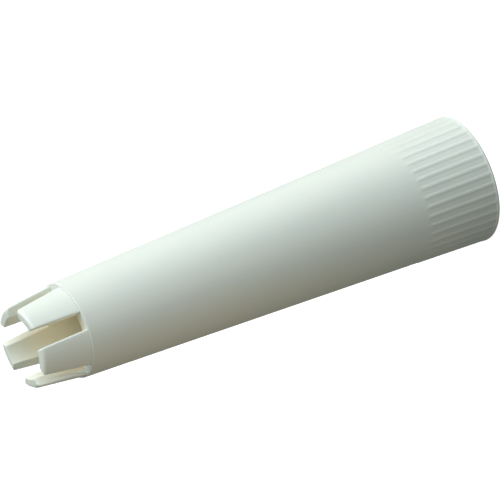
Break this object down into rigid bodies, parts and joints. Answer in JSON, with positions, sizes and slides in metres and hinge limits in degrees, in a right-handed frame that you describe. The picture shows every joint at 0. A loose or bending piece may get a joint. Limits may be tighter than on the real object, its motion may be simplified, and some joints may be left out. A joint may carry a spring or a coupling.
{
  "type": "dip pen holder",
  "caption": "Tapered hollow penholder sleeve with a ribbed grip band at its wide end and a crown of sprung fingers that grips a pen shaft at its narrow end.",
  "frame": {"origin": "centre of the wide end's flat face, on which the sleeve stands", "axes": "+Z along the sleeve's axis towards the fingers; finger_1 is centred on +X"},
  "size_m": [0.0164, 0.0164, 0.0653],
  "materials": {
    "white_plastic": "smooth moulded, slightly translucent"
  },
  "bodies": {
    "barrel": {"barrel": "white_plastic"},
    "finger_1": {"finger_1": "white_plastic"},
    "finger_2": {"finger_2": "white_plastic"},
    "finger_3": {"finger_3": "white_plastic"},
    "finger_4": {"finger_4": "white_plastic"},
    "finger_5": {"finger_5": "white_plastic"}
  },
  "joints": [
    {"name": "finger_1_flex", "type": "hinge", "parent": "barrel", "child": "finger_1", "pos_m": [0.00596, 0, 0.0588], "axis": [0, 1, 0], "range_deg": [0, 4], "stiffness_Nm_per_rad": 0.3},
    {"name": "finger_2_flex", "type": "hinge", "parent": "barrel", "child": "finger_2", "pos_m": [0.00184, 0.00567, 0.0588], "axis": [-0.9511, 0.309, 0], "range_deg": [0, 4], "stiffness_Nm_per_rad": 0.3},
    {"name": "finger_3_flex", "type": "hinge", "parent": "barrel", "child": "finger_3", "pos_m": [-0.00482, 0.0035, 0.0588], "axis": [-0.5878, -0.809, 0], "range_deg": [0, 4], "stiffness_Nm_per_rad": 0.3},
    {"name": "finger_4_flex", "type": "hinge", "parent": "barrel", "child": "finger_4", "pos_m": [-0.00482, -0.0035, 0.0588], "axis": [0.5878, -0.809, 0], "range_deg": [0, 4], "stiffness_Nm_per_rad": 0.3},
    {"name": "finger_5_flex", "type": "hinge", "parent": "barrel", "child": "finger_5", "pos_m": [0.00184, -0.00567, 0.0588], "axis": [0.9511, 0.309, 0], "range_deg": [0, 4], "stiffness_Nm_per_rad": 0.3}
  ]
}
